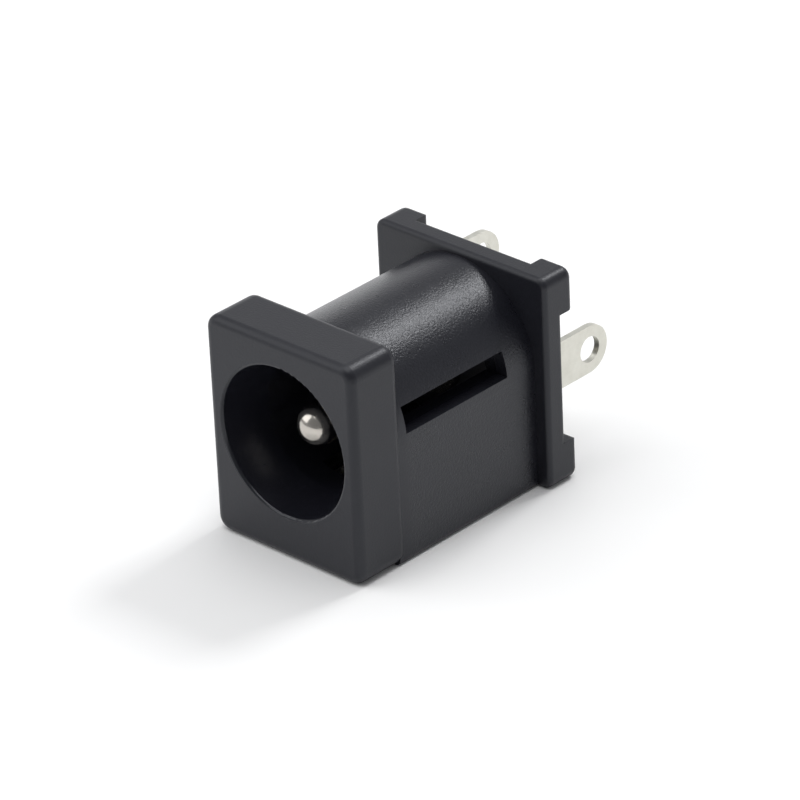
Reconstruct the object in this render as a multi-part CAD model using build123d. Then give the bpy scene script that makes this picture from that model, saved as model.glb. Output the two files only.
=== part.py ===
from build123d import *
import os

os.makedirs("parts", exist_ok=True)

# DC barrel jack for a 5.5 mm plug, with solder eyelets behind a rear flange.
# Millimetres. X to the right, Y from the mouth to the rear, Z up.
# The pieces are drawn from the front face at Y = 0, and are written out with the
# origin on the base at the centre of the overall footprint.

# Bore for the plug, with a long lead-in at its mouth
axis_height = 5.9
bore_diameter = 6.4
mouth_diameter = 7.5
mouth_depth = 2.4
mouth_edge = 0.15

# Walls of the barrel: beside the bore, outside the shunt contact, and over the bore
strip_wall = 0.45
flank_skin = 0.5
roof_wall = 1.4
body_length = 8.9
body_corner = 0.3

# Front collar, and how far it stands out from the barrel
collar_depth = 3.0
collar_lip = 0.05
collar_rise = 0.5
collar_corner = 0.7
collar_edge = 0.4

# Rear cover: the boss in the bore's end, the flange and its four corner feet
boss_length = 1.7
flange_lip = 0.75
flange_rise = 0.3
flange_thickness = 1.15
flange_corner = 0.5
flange_edge = 0.25
foot_width = 1.65
foot_height = 2.1
foot_depth = 0.75
foot_edge = 0.3

# Sheet metal of the three terminals, and the play of each piece in its slot or hole
sheet = 0.3
bend_radius = 0.45
lug_width = 2.4
lug_reach = 4.4
eyelet_diameter = 1.3
slot_clearance = 0.05

# Centre pin, shouldered on the bulkhead and staked behind its terminal
pin_diameter = 2.0
pin_setback = 1.4
pin_nose = 0.95
shoulder_diameter = 3.0
shoulder_thickness = 0.5
shank_diameter = 1.4
rivet_diameter = 2.2
rivet_height = 0.35
rivet_edge = 0.25

# Pin terminal, an arm on the rear face that ends in an upright lug
pin_lug_x = -2.75
pin_lug_rise = 2.0
pin_pad_radius = 1.5

# Sleeve contact: a terminal under the bore with a bowed leaf welded on its root
channel_below_bore = 1.5
root_from_bulkhead = 0.3
barb_length = 1.0
leaf_thickness = 0.2
leaf_side_gap = 0.1
weld_end_gap = 0.3
crest_rise = 0.9
crest_from_face = 6.9
leaf_tip_from_face = 4.1
leaf_tip_drop = 0.12
leaf_tip_room = 0.4
leaf_bend = 0.5

# Shunt contact, a fixed strip in the right flank with a finger under the bore
wall_opening = 0.6
strip_below_axis = 0.75
finger_from_face = 4.2
finger_length = 1.1
finger_end_x = -0.6
finger_below_bore = 0.05

# Window in the right flank
window_from_collar = 0.4
window_from_cover = 1.8
window_above_axis = 0.55
window_height = 1.25
window_reach = 0.75

# How far a cutter runs past the face it starts from
overrun = 1.0

# Stations along the bore
body_front = collar_depth
body_rear = body_front + body_length
bore_depth = body_rear - boss_length
flange_rear = body_rear + flange_thickness
lug_tip = flange_rear + lug_reach
window_front = body_front + window_from_collar
window_rear = body_rear - window_from_cover

# Widths and heights, from the bore outwards
bore_radius = bore_diameter / 2
bore_floor = axis_height - bore_radius
strip_inner = bore_radius + strip_wall
strip_outer = strip_inner + sheet
body_radius = strip_outer + flank_skin
body_width = 2 * body_radius
barrel_height = axis_height + bore_radius + roof_wall
collar_width = body_width + 2 * collar_lip
collar_height = barrel_height + collar_rise
flange_width = body_width + 2 * flange_lip
flange_height = barrel_height + flange_rise
strip_middle = axis_height - strip_below_axis
strip_bottom = strip_middle - lug_width / 2
strip_top = strip_middle + lug_width / 2
finger_top = bore_floor - finger_below_bore
finger_bottom = finger_top - sheet
channel_floor = bore_floor - channel_below_bore
crest_height = bore_floor + crest_rise
leaf_width = lug_width - 2 * leaf_side_gap
pin_lug_z = axis_height + pin_lug_rise
window_bottom = axis_height + window_above_axis
window_top = window_bottom + window_height


def prism(outline, y_from, y_to):
    """Carry an outline drawn in X and Z along Y."""
    return extrude(Plane.XZ.offset(-y_from) * outline, -(y_to - y_from))


def block(x_from, x_to, y_from, y_to, z_from, z_to):
    """An upright box between six planes."""
    size = (x_to - x_from, y_to - y_from, z_to - z_from)
    return Pos(x_from, y_from, z_from) * Box(*size, align=(Align.MIN, Align.MIN, Align.MIN))


def rod(radius, y_from, y_to):
    """A round bar or hole on the bore's axis."""
    return prism(Pos(0, axis_height) * Circle(radius), y_from, y_to)


def standing_slab(width, height, corner, edge, y_from, y_to):
    """A slab that stands on the base, with rounded corners and eased face edges."""
    outline = Pos(0, height / 2) * RectangleRounded(width, height, corner)
    slab = prism(outline, y_from, y_to)
    rims = slab.edges().filter_by_position(Axis.Y, y_from, y_from)
    rims += slab.edges().filter_by_position(Axis.Y, y_to, y_to)
    return fillet(rims, edge)


# The front moulding: collar and barrel, with the bore right through it
collar = standing_slab(collar_width, collar_height, collar_corner, collar_edge, 0, body_front)

arch_centre = barrel_height - body_radius
arch = Pos(0, arch_centre) * Circle(body_radius)
arch += Pos(0, arch_centre / 2) * Rectangle(body_width, arch_centre)
arch = fillet(arch.vertices().group_by(Axis.Y)[0], body_corner)
housing = collar + prism(arch, body_front - collar_edge, body_rear)

mouth_radius = mouth_diameter / 2
bore_half = Polygon(
    (0, -overrun),
    (mouth_radius + overrun, -overrun),
    (mouth_radius + overrun, 0),
    (mouth_radius, 0),
    (bore_radius, mouth_depth),
    (bore_radius, body_rear + overrun),
    (0, body_rear + overrun),
    align=None,
)
rim = bore_half.vertices().sort_by_distance((mouth_radius, 0, 0))[0]
bore_half = fillet(rim, mouth_edge)
bore_axis = Axis((0, 0, axis_height), (0, 1, 0))
housing -= revolve(Pos(0, 0, axis_height) * bore_half, bore_axis)

# The channel under the bore where the sleeve contact lies
channel_half = lug_width / 2 + slot_clearance
housing -= block(
    -channel_half,
    channel_half,
    leaf_tip_from_face - leaf_tip_room,
    body_rear + overrun,
    channel_floor,
    bore_floor + wall_opening,
)

# The slot for the shunt contact: an upright part in the right flank, which
# opens into the bore, and a level part that lets the finger pass
pocket_front = finger_from_face - slot_clearance
housing -= block(
    strip_inner - slot_clearance,
    strip_outer + slot_clearance,
    pocket_front,
    body_rear + overrun,
    finger_bottom - slot_clearance,
    strip_top + slot_clearance,
)
housing -= block(
    finger_end_x - slot_clearance,
    strip_outer + slot_clearance,
    pocket_front,
    body_rear + overrun,
    finger_bottom - slot_clearance,
    finger_top + slot_clearance,
)
housing -= block(
    bore_radius - wall_opening,
    strip_outer + slot_clearance,
    pocket_front,
    bore_depth,
    strip_bottom - slot_clearance,
    strip_top + slot_clearance,
)

# The window in the right flank, through to the bore
housing -= block(
    bore_radius - window_reach,
    body_radius + overrun,
    window_front,
    window_rear,
    window_bottom,
    window_top,
)

# The rear cover: a flange with four corner feet, and a boss that closes the bore
cover = standing_slab(
    flange_width, flange_height, flange_corner, flange_edge, body_rear, flange_rear
)
cover += rod(bore_radius - slot_clearance, bore_depth, body_rear + flange_thickness / 2)


def corner_foot(side, top):
    """One foot on the flange's rear corner; side is -1 or 1, top is True for the upper pair."""
    outer = side * flange_width / 2
    inner = side * (flange_width / 2 - foot_width)
    z_from = flange_height - foot_height if top else 0
    foot = block(
        min(outer, inner),
        max(outer, inner),
        flange_rear - flange_thickness / 2,
        flange_rear + foot_depth,
        z_from,
        z_from + foot_height,
    )
    upright = foot.edges().filter_by(Axis.Y)
    far_z = flange_height if top else 0
    corner = upright.sort_by(lambda e: abs(e.center().X - outer) + abs(e.center().Z - far_z))
    foot = fillet(corner[0], flange_corner)
    return fillet(foot.faces().sort_by(Axis.Y)[-1].edges(), foot_edge)


for side in (-1, 1):
    for top in (False, True):
        cover += corner_foot(side, top)

# The hole for the pin's shank, and one slot each for the sleeve and shunt lugs
cover -= rod(shank_diameter / 2 + slot_clearance, bore_depth - overrun, flange_rear + overrun)
cover -= block(
    -channel_half,
    channel_half,
    body_rear - overrun,
    flange_rear + overrun,
    channel_floor - slot_clearance,
    channel_floor + sheet + slot_clearance,
)
cover -= block(
    strip_inner - slot_clearance,
    strip_outer + slot_clearance,
    body_rear - overrun,
    flange_rear + overrun,
    strip_bottom - slot_clearance,
    strip_top + slot_clearance,
)

# The turned centre pin
pin = rod(pin_diameter / 2, pin_setback, bore_depth)
pin = fillet(pin.edges().sort_by(Axis.Y)[0], pin_nose)
pin += rod(shoulder_diameter / 2, bore_depth - shoulder_thickness, bore_depth)
pin += rod(shank_diameter / 2, bore_depth, flange_rear + sheet)
rivet = rod(rivet_diameter / 2, flange_rear + sheet, flange_rear + sheet + rivet_height)
pin += fillet(rivet.edges().sort_by(Axis.Y)[-1], rivet_edge)


def lug_outline(length):
    """A strip end from 0 to length, full width, with a round tip and an eyelet."""
    reach = length - lug_width / 2
    outline = Pos(reach / 2, 0) * Rectangle(reach, lug_width)
    outline += Pos(reach, 0) * Circle(lug_width / 2)
    return outline - Pos(reach, 0) * Circle(eyelet_diameter / 2)


def upright_lug(x_from, x_to, z_middle, y_from):
    """A lug that stands in Y and Z, from y_from to the common tip line."""
    outline = lug_outline(lug_tip - y_from)
    plane = Plane((x_from, y_from, z_middle), x_dir=(0, 1, 0), z_dir=(1, 0, 0))
    return extrude(plane * outline, x_to - x_from)


# The pin's terminal: a pad under the rivet, an arm and a lug bent to the rear
arm_left = pin_lug_x - sheet / 2
bend_end = arm_left + bend_radius
pad = Pos(0, axis_height) * Circle(pin_pad_radius)
arm_root = Pos(bend_end + sheet / 2, pin_lug_z) * Rectangle(sheet, lug_width)
terminal = prism(make_hull((pad + arm_root).edges()), flange_rear, flange_rear + sheet)
bend = Pos(arm_left, flange_rear) * Rectangle(
    bend_radius + sheet, sheet, align=(Align.MIN, Align.MIN)
)
bend += Pos(arm_left, flange_rear) * Rectangle(sheet, lug_reach, align=(Align.MIN, Align.MIN))
bend = fillet(bend.vertices().sort_by_distance((arm_left, flange_rear, 0))[0], bend_radius)
inner_corner = (arm_left + sheet, flange_rear + sheet, 0)
bend = fillet(bend.vertices().sort_by_distance(inner_corner)[0], bend_radius - sheet)
bend_lug = extrude(Pos(0, 0, pin_lug_z - lug_width / 2) * bend, lug_width)
arm_side = Plane((arm_left, flange_rear, pin_lug_z), x_dir=(0, 1, 0), z_dir=(1, 0, 0))
bend_lug &= extrude(arm_side * lug_outline(lug_reach), bend_radius + sheet)
terminal += bend_lug
terminal -= rod(
    shank_diameter / 2 + slot_clearance, flange_rear - overrun, flange_rear + overrun
)

# The sleeve terminal: a flat root in the channel, with a barb on each side, and
# a level lug behind the flange
root_front = bore_depth - root_from_bulkhead
sleeve = block(
    -lug_width / 2,
    lug_width / 2,
    root_front,
    flange_rear,
    channel_floor,
    channel_floor + sheet,
)
lug_plane = Plane((0, flange_rear, channel_floor), x_dir=(0, 1, 0), z_dir=(0, 0, 1))
sleeve += extrude(lug_plane * lug_outline(lug_reach), sheet)
barb_middle = (bore_depth + body_rear) / 2
sleeve += block(
    -channel_half,
    channel_half,
    barb_middle - barb_length / 2,
    barb_middle + barb_length / 2,
    channel_floor,
    channel_floor + sheet,
)

# The sleeve leaf: a root on the terminal, a rising arm, a round crest that bears
# on the plug, and a tip that rests under the shunt's finger
root_z = channel_floor + sheet + leaf_thickness / 2
crest_z = crest_height - leaf_thickness / 2
tip_z = finger_bottom - leaf_thickness / 2
leaf_line = FilletPolyline(
    (0, body_rear - weld_end_gap, root_z),
    (0, root_front, root_z),
    (0, crest_from_face, crest_z),
    (0, finger_from_face + finger_length + leaf_bend / 2, tip_z),
    (0, leaf_tip_from_face, tip_z - leaf_tip_drop),
    radius=leaf_bend,
)
leaf_section = Plane(leaf_line @ 0, x_dir=(1, 0, 0), z_dir=leaf_line % 0) * Rectangle(
    leaf_width, leaf_thickness
)
leaf = sweep(leaf_section, path=leaf_line)

# The shunt contact: an upright strip along the right flank, a leg down at its
# front end and a finger that turns in under the bore, over the spring's tip
finger_rear = finger_from_face + finger_length
shunt = upright_lug(strip_inner, strip_outer, strip_middle, finger_from_face)
shunt += block(
    strip_inner,
    strip_outer,
    finger_from_face,
    finger_rear,
    finger_bottom,
    strip_middle,
)
shunt += block(finger_end_x, strip_outer, finger_from_face, finger_rear, finger_bottom, finger_top)
outer_bend = shunt.edges().filter_by(Axis.Y).group_by(Axis.Z)[0].group_by(Axis.X)[-1]
shunt = fillet(outer_bend, bend_radius)

parts = {
    "housing": housing,
    "rear_cover": cover,
    "centre_pin": pin,
    "pin_terminal": terminal,
    "sleeve_terminal": sleeve,
    "sleeve_leaf": leaf,
    "shunt_contact": shunt,
}
for name, shape in parts.items():
    placed = Pos(0, -lug_tip / 2, 0) * shape.solid()
    export_step(placed, f"parts/{name}.step")
    print(name, round(placed.volume, 2), placed.bounding_box())
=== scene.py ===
from math import cos, pi, radians, sin

import bpy
from mathutils import Matrix, Vector

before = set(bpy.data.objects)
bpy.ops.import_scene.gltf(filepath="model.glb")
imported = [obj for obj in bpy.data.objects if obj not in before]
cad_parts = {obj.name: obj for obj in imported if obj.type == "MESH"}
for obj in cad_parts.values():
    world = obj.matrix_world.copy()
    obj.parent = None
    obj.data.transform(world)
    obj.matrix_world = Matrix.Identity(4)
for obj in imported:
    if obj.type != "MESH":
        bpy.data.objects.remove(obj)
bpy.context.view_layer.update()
MM = 0.001

# Housing: the front moulding, collar and barrel in one, of black glass-filled
# nylon. Its tool is spark eroded, and leaves a satin grain, finer on the collar.
# The core that leaves the bore is polished, and the wall there is smoother.
plastic_black = (0.0072, 0.0074, 0.0110, 1)
plastic_grey = (0.0127, 0.0131, 0.0185, 1)
plastic_gloss = (0.94, 0.96, 1, 1)
plastic_reflection = 0.46
grain_size = 0.10 * MM
grain_height = 0.020 * MM
grain_detail = 3.0
grain_matting = 0.12
grain_tint = 0.4
flow_size = 1.6 * MM
flow_detail = 3.0
flow_matting = 0.10
flow_tint = 0.6
collar_roughness = 0.41
collar_grain = 0.4
barrel_roughness = 0.30
barrel_start = -5.7 * MM
barrel_fade = 0.6 * MM
bore_axis = (0, 0, 5.9 * MM)
bore_wall = 3.85 * MM
bore_grain = 0.2
bore_matting = 0.08
bore_roughness = 0.24


class Wire:
    """A node's output. Sums and products of wires add the Math nodes they need."""

    tree = None

    def __init__(self, socket):
        self.socket = socket

    @classmethod
    def node(cls, kind, settings=None, sockets=None, output=0):
        """One new node: its type, its settings, and a value or a wire for each socket."""
        made = cls.tree.nodes.new(kind)
        for name, value in (settings or {}).items():
            setattr(made, name, value)
        for name, value in (sockets or {}).items():
            if isinstance(value, Wire):
                cls.tree.links.new(value.socket, made.inputs[name])
            else:
                made.inputs[name].default_value = value
        return cls(made.outputs[output])

    def maths(self, operation, first, second):
        return Wire.node("ShaderNodeMath", {"operation": operation}, {0: first, 1: second})

    def __add__(self, other):
        return self.maths("ADD", self, other)

    def __sub__(self, other):
        return self.maths("SUBTRACT", self, other)

    def __mul__(self, other):
        return self.maths("MULTIPLY", self, other)

    def __truediv__(self, other):
        return self.maths("DIVIDE", self, other)

    def __rsub__(self, other):
        return self.maths("SUBTRACT", other, self)

    def __rtruediv__(self, other):
        return self.maths("DIVIDE", other, self)

    def __lt__(self, other):
        return self.maths("LESS_THAN", self, other)

    __radd__ = __add__
    __rmul__ = __mul__


def new_material(name, **values):
    """A material with one shader, whose constant sockets take the values given."""
    material = bpy.data.materials.new(name)
    material.use_nodes = True
    Wire.tree = material.node_tree
    shader = material.node_tree.nodes["Principled BSDF"]
    for socket, value in values.items():
        shader.inputs[socket.replace("_", " ")].default_value = value
    return material, shader


def feed(shader, **wires):
    """Join what varies over the surface to the shader's sockets."""
    for socket, wire in wires.items():
        Wire.tree.links.new(wire.socket, shader.inputs[socket.replace("_", " ")])


def place():
    """The point on the piece, in the piece's own coordinates."""
    return Wire.node("ShaderNodeTexCoord", output="Object")


def part_of(vector, axis):
    """One coordinate of a vector, by its letter."""
    return Wire.node("ShaderNodeSeparateXYZ", None, {"Vector": vector}, axis)


def vector_maths(operation, *vectors, output=0):
    sockets = dict(enumerate(vectors))
    return Wire.node("ShaderNodeVectorMath", {"operation": operation}, sockets, output)


def cloud(size, detail=2.0, stretch=(1, 1, 1)):
    """Noise over the piece's own coordinates, 0 to 1, with lumps of the size given."""
    scaled = Wire.node("ShaderNodeMapping", None, {"Vector": place(), "Scale": stretch})
    sockets = {"Vector": scaled, "Scale": 1 / size, "Detail": detail, "Roughness": 0.55}
    return Wire.node("ShaderNodeTexNoise", None, sockets, "Fac")


def tint(mask, low, high):
    """A colour that runs from low to high by the mask."""
    factor, first, second, colour = 0, 6, 7, 2
    sockets = {factor: mask, first: low, second: high}
    return Wire.node("ShaderNodeMix", {"data_type": "RGBA"}, sockets, colour)


def relief(height, depth):
    """A bump of the depth given."""
    sockets = {"Height": height, "Distance": depth, "Strength": 1}
    return Wire.node("ShaderNodeBump", None, sockets)


def moulded_black(name, bored):
    """The satin black plastic. The housing, which is bored, has a coarser grain on
    its barrel than on its collar, and a smoother wall round the bore's axis."""
    material, shader = new_material(
        name, Specular_Tint=plastic_gloss, Specular_IOR_Level=plastic_reflection
    )
    grain = cloud(grain_size, grain_detail)
    flow = cloud(flow_size, flow_detail)
    unevenness = (grain - 0.5) * grain_matting + (flow - 0.5) * flow_matting
    roughness = unevenness + collar_roughness
    height = grain * collar_grain
    if bored:
        behind = (part_of(place(), "Y") - barrel_start) / barrel_fade
        barrel = Wire.node("ShaderNodeClamp", None, {"Value": behind})
        roughness = roughness + barrel * (barrel_roughness - collar_roughness)
        across = vector_maths("SUBTRACT", place(), bore_axis)
        flat = vector_maths("MULTIPLY", across, (1, 0, 1))
        inside = vector_maths("LENGTH", flat, output="Value") < bore_wall
        smooth = (flow - 0.5) * bore_matting + bore_roughness
        roughness = roughness * (1 - inside) + smooth * inside
        height = grain * (barrel * (1 - collar_grain) + collar_grain)
        height = height * (1 - inside * (1 - bore_grain))
    feed(
        shader,
        Base_Color=tint(grain * grain_tint + flow * flow_tint, plastic_black, plastic_grey),
        Roughness=roughness,
        Normal=relief(height, grain_height),
    )
    return material


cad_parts["housing"].material_slots[0].material = moulded_black("black_housing", True)

# Rear cover: a second moulding in the same black nylon, a flange with four feet
# and a boss that closes the bore. It is welded on behind the barrel.
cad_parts["rear_cover"].material_slots[0].material = moulded_black("black_cover", False)

# Centre pin: turned from brass bar and plated with bright nickel. The tool's
# fine rings run round it, and its end is domed to guide the plug.
nickel_light = (0.64, 0.61, 0.56, 1)
nickel_dark = (0.46, 0.43, 0.39, 1)
nickel_roughness = 0.09
rings_matting = 0.12
rings_depth = 0.002 * MM
pin_rings_apart = 0.05 * MM
film_size = 0.8 * MM
film_matting = 0.06


def nickel_plate(name, rings_apart):
    """Bright nickel with tool rings or rolling lines at the distance given."""
    material, shader = new_material(name, Metallic=1)
    rings = cloud(rings_apart, 1.0, (0.02, 1, 0.02))
    film = cloud(film_size)
    feed(
        shader,
        Base_Color=tint(film, nickel_dark, nickel_light),
        Roughness=rings * rings_matting + film * film_matting + nickel_roughness,
        Normal=relief(rings, rings_depth),
    )
    return material


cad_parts["centre_pin"].material_slots[0].material = nickel_plate(
    "nickel_pin", pin_rings_apart
)

# Sleeve leaf: a bowed strip of spring bronze, nickel plated, welded on the
# sleeve terminal's root. Its crest bears on the plug's barrel.
leaf_lines_apart = 0.1 * MM
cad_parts["sleeve_leaf"].material_slots[0].material = nickel_plate(
    "nickel_leaf", leaf_lines_apart
)

# Terminals: three stampings of half-hard brass sheet, tin plated for soldering.
# The plating is satin and a little cloudy, with faint rolling lines.
tin_light = (0.80, 0.79, 0.73, 1)
tin_dark = (0.58, 0.57, 0.50, 1)
tin_roughness = 0.27
bloom_size = 0.6 * MM
bloom_detail = 3.0
bloom_matting = 0.16
rolling_apart = 0.06 * MM
rolling_depth = 0.002 * MM
rolling_matting = 0.10
tin, shader = new_material("tin_plate", Metallic=1)
bloom = cloud(bloom_size, bloom_detail)
rolling = cloud(rolling_apart, 1.0, (1, 0.03, 1))
feed(
    shader,
    Base_Color=tint(bloom, tin_dark, tin_light),
    Roughness=bloom * bloom_matting + rolling * rolling_matting + tin_roughness,
    Normal=relief(rolling, rolling_depth),
)
for name in ("pin_terminal", "sleeve_terminal", "shunt_contact"):
    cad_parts[name].material_slots[0].material = tin

# Floor: a wide sheet of white paper under the jack, which the light washes out.
half = 400 * MM
paper_white = (0.95, 0.95, 0.95, 1)
floor_mesh = bpy.data.meshes.new("floor")
corners = [(-half, -half, 0), (half, -half, 0), (half, half, 0), (-half, half, 0)]
floor_mesh.from_pydata(corners, [], [(0, 1, 2, 3)])
floor = bpy.data.objects.new("floor", floor_mesh)
bpy.context.collection.objects.link(floor)
paper, shader = new_material("floor_paper", Base_Color=paper_white, Roughness=0.9)
floor_mesh.materials.append(paper)

# Light: a pale surround, darker in front, above and right, with four soft boxes.
# Wide ones overhead and in front light the floor, a small one above and behind
# draws the bright band along the barrel, and a low one brightens its left edge.
surround_colour = (0.97, 0.98, 1, 1)
surround_mean = 0.46
surround_up = -0.13
surround_back = 0.14
surround_right = -0.12
world = bpy.data.worlds.new("surround")
bpy.context.scene.world = world
world.use_nodes = True
Wire.tree = world.node_tree
outward = Wire.node("ShaderNodeTexCoord", output="Generated")
slopes = (
    part_of(outward, "X") * surround_right
    + part_of(outward, "Y") * surround_back
    + part_of(outward, "Z") * surround_up
)
background = world.node_tree.nodes["Background"]
background.inputs["Color"].default_value = surround_colour
Wire.tree.links.new((slopes + surround_mean).socket, background.inputs["Strength"])
bpy.context.scene.view_settings.view_transform = "Standard"


def soft_box(name, towards, away, size, brightness, target=(0, 0, 6 * MM)):
    """A square panel that faces the jack; brightness is its radiance."""
    data = bpy.data.lights.new(name, "AREA")
    data.shape = "SQUARE"
    data.size = size
    data.energy = brightness * pi * size * size
    panel = bpy.data.objects.new(name, data)
    bpy.context.collection.objects.link(panel)
    panel.location = Vector(target) + Vector(towards).normalized() * away
    panel.rotation_euler = Vector(towards).to_track_quat("Z", "Y").to_euler()


soft_box("top_box", (-0.05, -0.10, 1), 400 * MM, 360 * MM, 2.1)
soft_box("front_box", (-0.60, -0.60, 0.55), 400 * MM, 300 * MM, 1.4)
soft_box("rear_box", (0.05, 0.63, 0.775), 350 * MM, 90 * MM, 17.0)
soft_box("left_box", (-0.76, 0.63, 0.08), 300 * MM, 120 * MM, 1.0)

# Camera: to the right of the mouth, looking down, far off with a long lens,
# so that the jack's edges stay nearly parallel, and turned slightly on its axis.
azimuth = radians(44.085)
elevation = radians(28.515)
lean = radians(-2.704)
distance = 250 * MM
aim = Vector((1.123, -2.225, 5.713)) * MM
frame_pixels = 800
focal_pixels = 5546.7
forward = Vector(
    (-sin(azimuth) * cos(elevation), cos(azimuth) * cos(elevation), -sin(elevation))
)
level = Vector((cos(azimuth), sin(azimuth), 0))
upright = level.cross(forward)
right = level * cos(lean) + upright * sin(lean)
up = upright * cos(lean) - level * sin(lean)
lens = bpy.data.cameras.new("camera")
lens.sensor_width = 36
lens.lens = lens.sensor_width * focal_pixels / frame_pixels
lens.clip_start = 10 * MM
camera = bpy.data.objects.new("camera", lens)
bpy.context.collection.objects.link(camera)
turn = Matrix((right, up, -forward)).transposed().to_4x4()
camera.matrix_world = Matrix.Translation(aim - forward * distance) @ turn
bpy.context.scene.camera = camera
